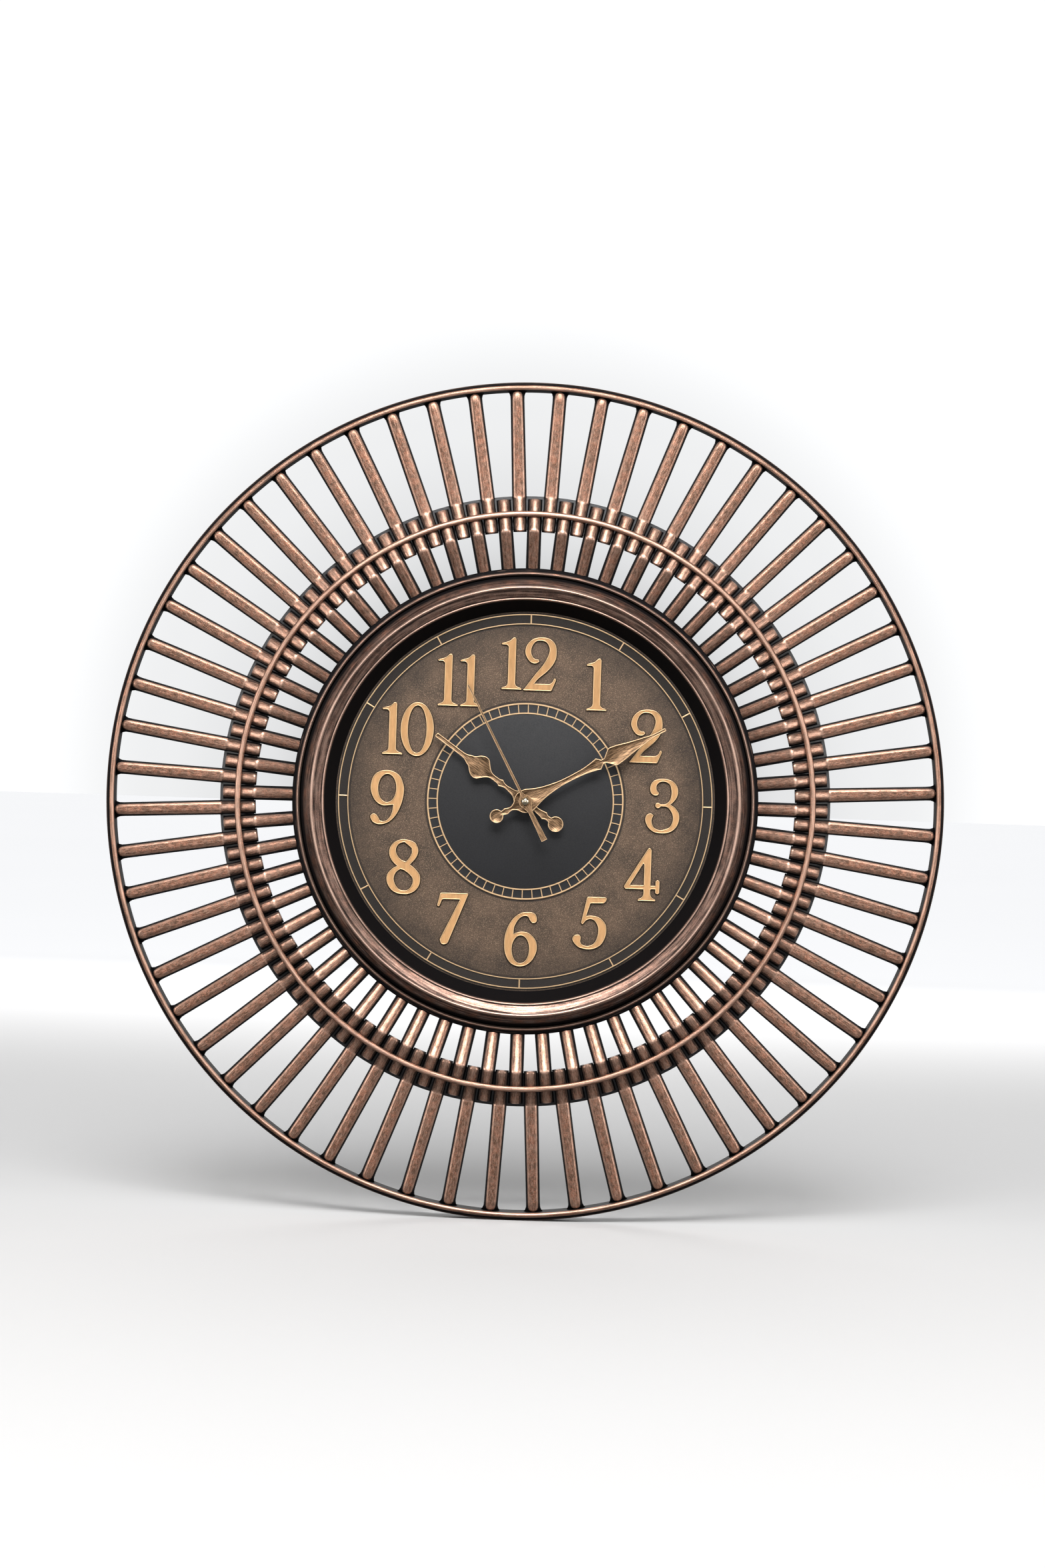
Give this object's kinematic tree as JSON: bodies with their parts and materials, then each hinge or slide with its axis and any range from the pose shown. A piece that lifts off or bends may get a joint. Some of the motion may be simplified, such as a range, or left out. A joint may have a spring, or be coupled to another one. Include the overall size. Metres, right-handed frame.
{
  "type": "sunburst wall clock",
  "caption": "Round battery wall clock with a turned bezel, open dial with raised figures, three hands and a two-row sunburst of rays inside a rim.",
  "frame": {"origin": "the dial's axis on the wall plane, level with the back of the housing", "axes": "+Z towards twelve o'clock, +X towards three o'clock, -Y out of the wall towards the viewer"},
  "size_m": [0.508, 0.038, 0.508],
  "materials": {
    "aged_copper": "aged copper dry-brushed over black",
    "aged_bronze": "satin aged bronze, worn bright on the edges",
    "dial_brown": "mottled dark bronze-brown",
    "dial_black": "satin black",
    "figure_gold": "antique gold paint",
    "hand_bronze": "brushed antique bronze paint",
    "cap_gold": "polished pale gold",
    "black_plastic": "moulded, fine texture",
    "gear_plastic": "moulded acetal",
    "brass": "machined",
    "steel": "zinc plated",
    "copper_wire": "enamelled wire winding",
    "board_green": "solder mask",
    "rubber": "plain",
    "battery_label": "plain printed sleeve, no marks"
  },
  "bodies": {
    "clock_frame": {"back_housing": "black_plastic", "outer_sunburst": "aged_copper", "inner_sunburst": "aged_copper", "backing_ring": "black_plastic", "mid_ring": "aged_copper", "bezel": "aged_bronze", "dial_plate": "dial_brown", "hour_track": "figure_gold", "minute_track": "dial_black", "numeral_1": "figure_gold", "numeral_2": "figure_gold", "numeral_3": "figure_gold", "numeral_4": "figure_gold", "numeral_5": "figure_gold", "numeral_6": "figure_gold", "numeral_7": "figure_gold", "numeral_8": "figure_gold", "numeral_9": "figure_gold", "numeral_10_a": "figure_gold", "numeral_10_b": "figure_gold", "numeral_11_a": "figure_gold", "numeral_11_b": "figure_gold", "numeral_12_a": "figure_gold", "numeral_12_b": "figure_gold", "rubber_washer": "rubber", "brass_washer": "brass", "hex_nut": "brass", "movement_front_case": "black_plastic", "movement_back_cover": "black_plastic", "stator": "steel", "coil": "copper_wire", "circuit_board": "board_green", "quartz_crystal": "steel", "contact_positive": "brass", "contact_negative": "brass", "hanger_plate": "steel", "hanger_screw_left": "steel", "hanger_screw_right": "steel", "bezel_screw_1": "steel", "bezel_screw_2": "steel", "bezel_screw_3": "steel", "bezel_screw_4": "steel", "frame_screw_1": "steel", "frame_screw_2": "steel", "frame_screw_3": "steel", "frame_screw_4": "steel"},
    "seconds_arbor": {"seconds_wheel": "gear_plastic", "second_hand": "hand_bronze", "hand_cap": "cap_gold"},
    "minute_arbor": {"cannon_pinion": "brass", "minute_hand": "hand_bronze"},
    "hour_arbor": {"hour_wheel": "gear_plastic", "hour_hand": "hand_bronze"},
    "minute_wheel": {"minute_wheel": "gear_plastic"},
    "setting_knob": {"setting_knob": "gear_plastic"},
    "rotor": {"rotor": "steel"},
    "intermediate_wheel": {"intermediate_wheel": "gear_plastic"},
    "third_wheel": {"third_wheel": "gear_plastic"},
    "centre_wheel": {"centre_wheel": "brass"},
    "battery": {"battery": "battery_label"}
  },
  "joints": [
    {"name": "second_hand_turn", "type": "hinge", "parent": "clock_frame", "child": "seconds_arbor", "pos_m": [0, -0.02, 0], "axis": [0, 1, 0], "continuous": true},
    {"name": "minute_hand_turn", "type": "hinge", "parent": "clock_frame", "child": "minute_arbor", "pos_m": [0, -0.025, 0], "axis": [0, 1, 0], "continuous": true},
    {"name": "hour_hand_turn", "type": "hinge", "parent": "clock_frame", "child": "hour_arbor", "pos_m": [0, -0.022, 0], "axis": [0, 1, 0], "continuous": true},
    {"name": "minute_wheel_turn", "type": "hinge", "parent": "clock_frame", "child": "minute_wheel", "pos_m": [-0.008, -0.014, 0], "axis": [0, 1, 0], "continuous": true},
    {"name": "setting_knob_turn", "type": "hinge", "parent": "clock_frame", "child": "setting_knob", "pos_m": [-0.016, -0.008, 0], "axis": [0, 1, 0], "continuous": true},
    {"name": "rotor_turn", "type": "hinge", "parent": "clock_frame", "child": "rotor", "pos_m": [-0.01097, -0.008, 0.01133], "axis": [0, 1, 0], "continuous": true},
    {"name": "intermediate_wheel_turn", "type": "hinge", "parent": "clock_frame", "child": "intermediate_wheel", "pos_m": [-0.00308, -0.006, 0.00846], "axis": [0, 1, 0], "continuous": true},
    {"name": "third_wheel_turn", "type": "hinge", "parent": "clock_frame", "child": "third_wheel", "pos_m": [0.00987, -0.009, 0.00359], "axis": [0, 1, 0], "continuous": true},
    {"name": "centre_wheel_turn", "type": "hinge", "parent": "clock_frame", "child": "centre_wheel", "pos_m": [0, -0.0115, 0], "axis": [0, 1, 0], "continuous": true},
    {"name": "battery_removal", "type": "slide", "parent": "clock_frame", "child": "battery", "axis": [0, 1, 0], "range_m": [0, 0.03]}
  ],
  "couplings": [
    {"joint": "hour_hand_turn", "follows": "minute_hand_turn", "ratio": 0.083333},
    {"joint": "minute_wheel_turn", "follows": "minute_hand_turn", "ratio": -0.33333},
    {"joint": "setting_knob_turn", "follows": "minute_hand_turn", "ratio": 1},
    {"joint": "intermediate_wheel_turn", "follows": "second_hand_turn", "ratio": -5},
    {"joint": "rotor_turn", "follows": "second_hand_turn", "ratio": 30},
    {"joint": "third_wheel_turn", "follows": "second_hand_turn", "ratio": -0.13333},
    {"joint": "centre_wheel_turn", "follows": "second_hand_turn", "ratio": 0.016667}
  ]
}
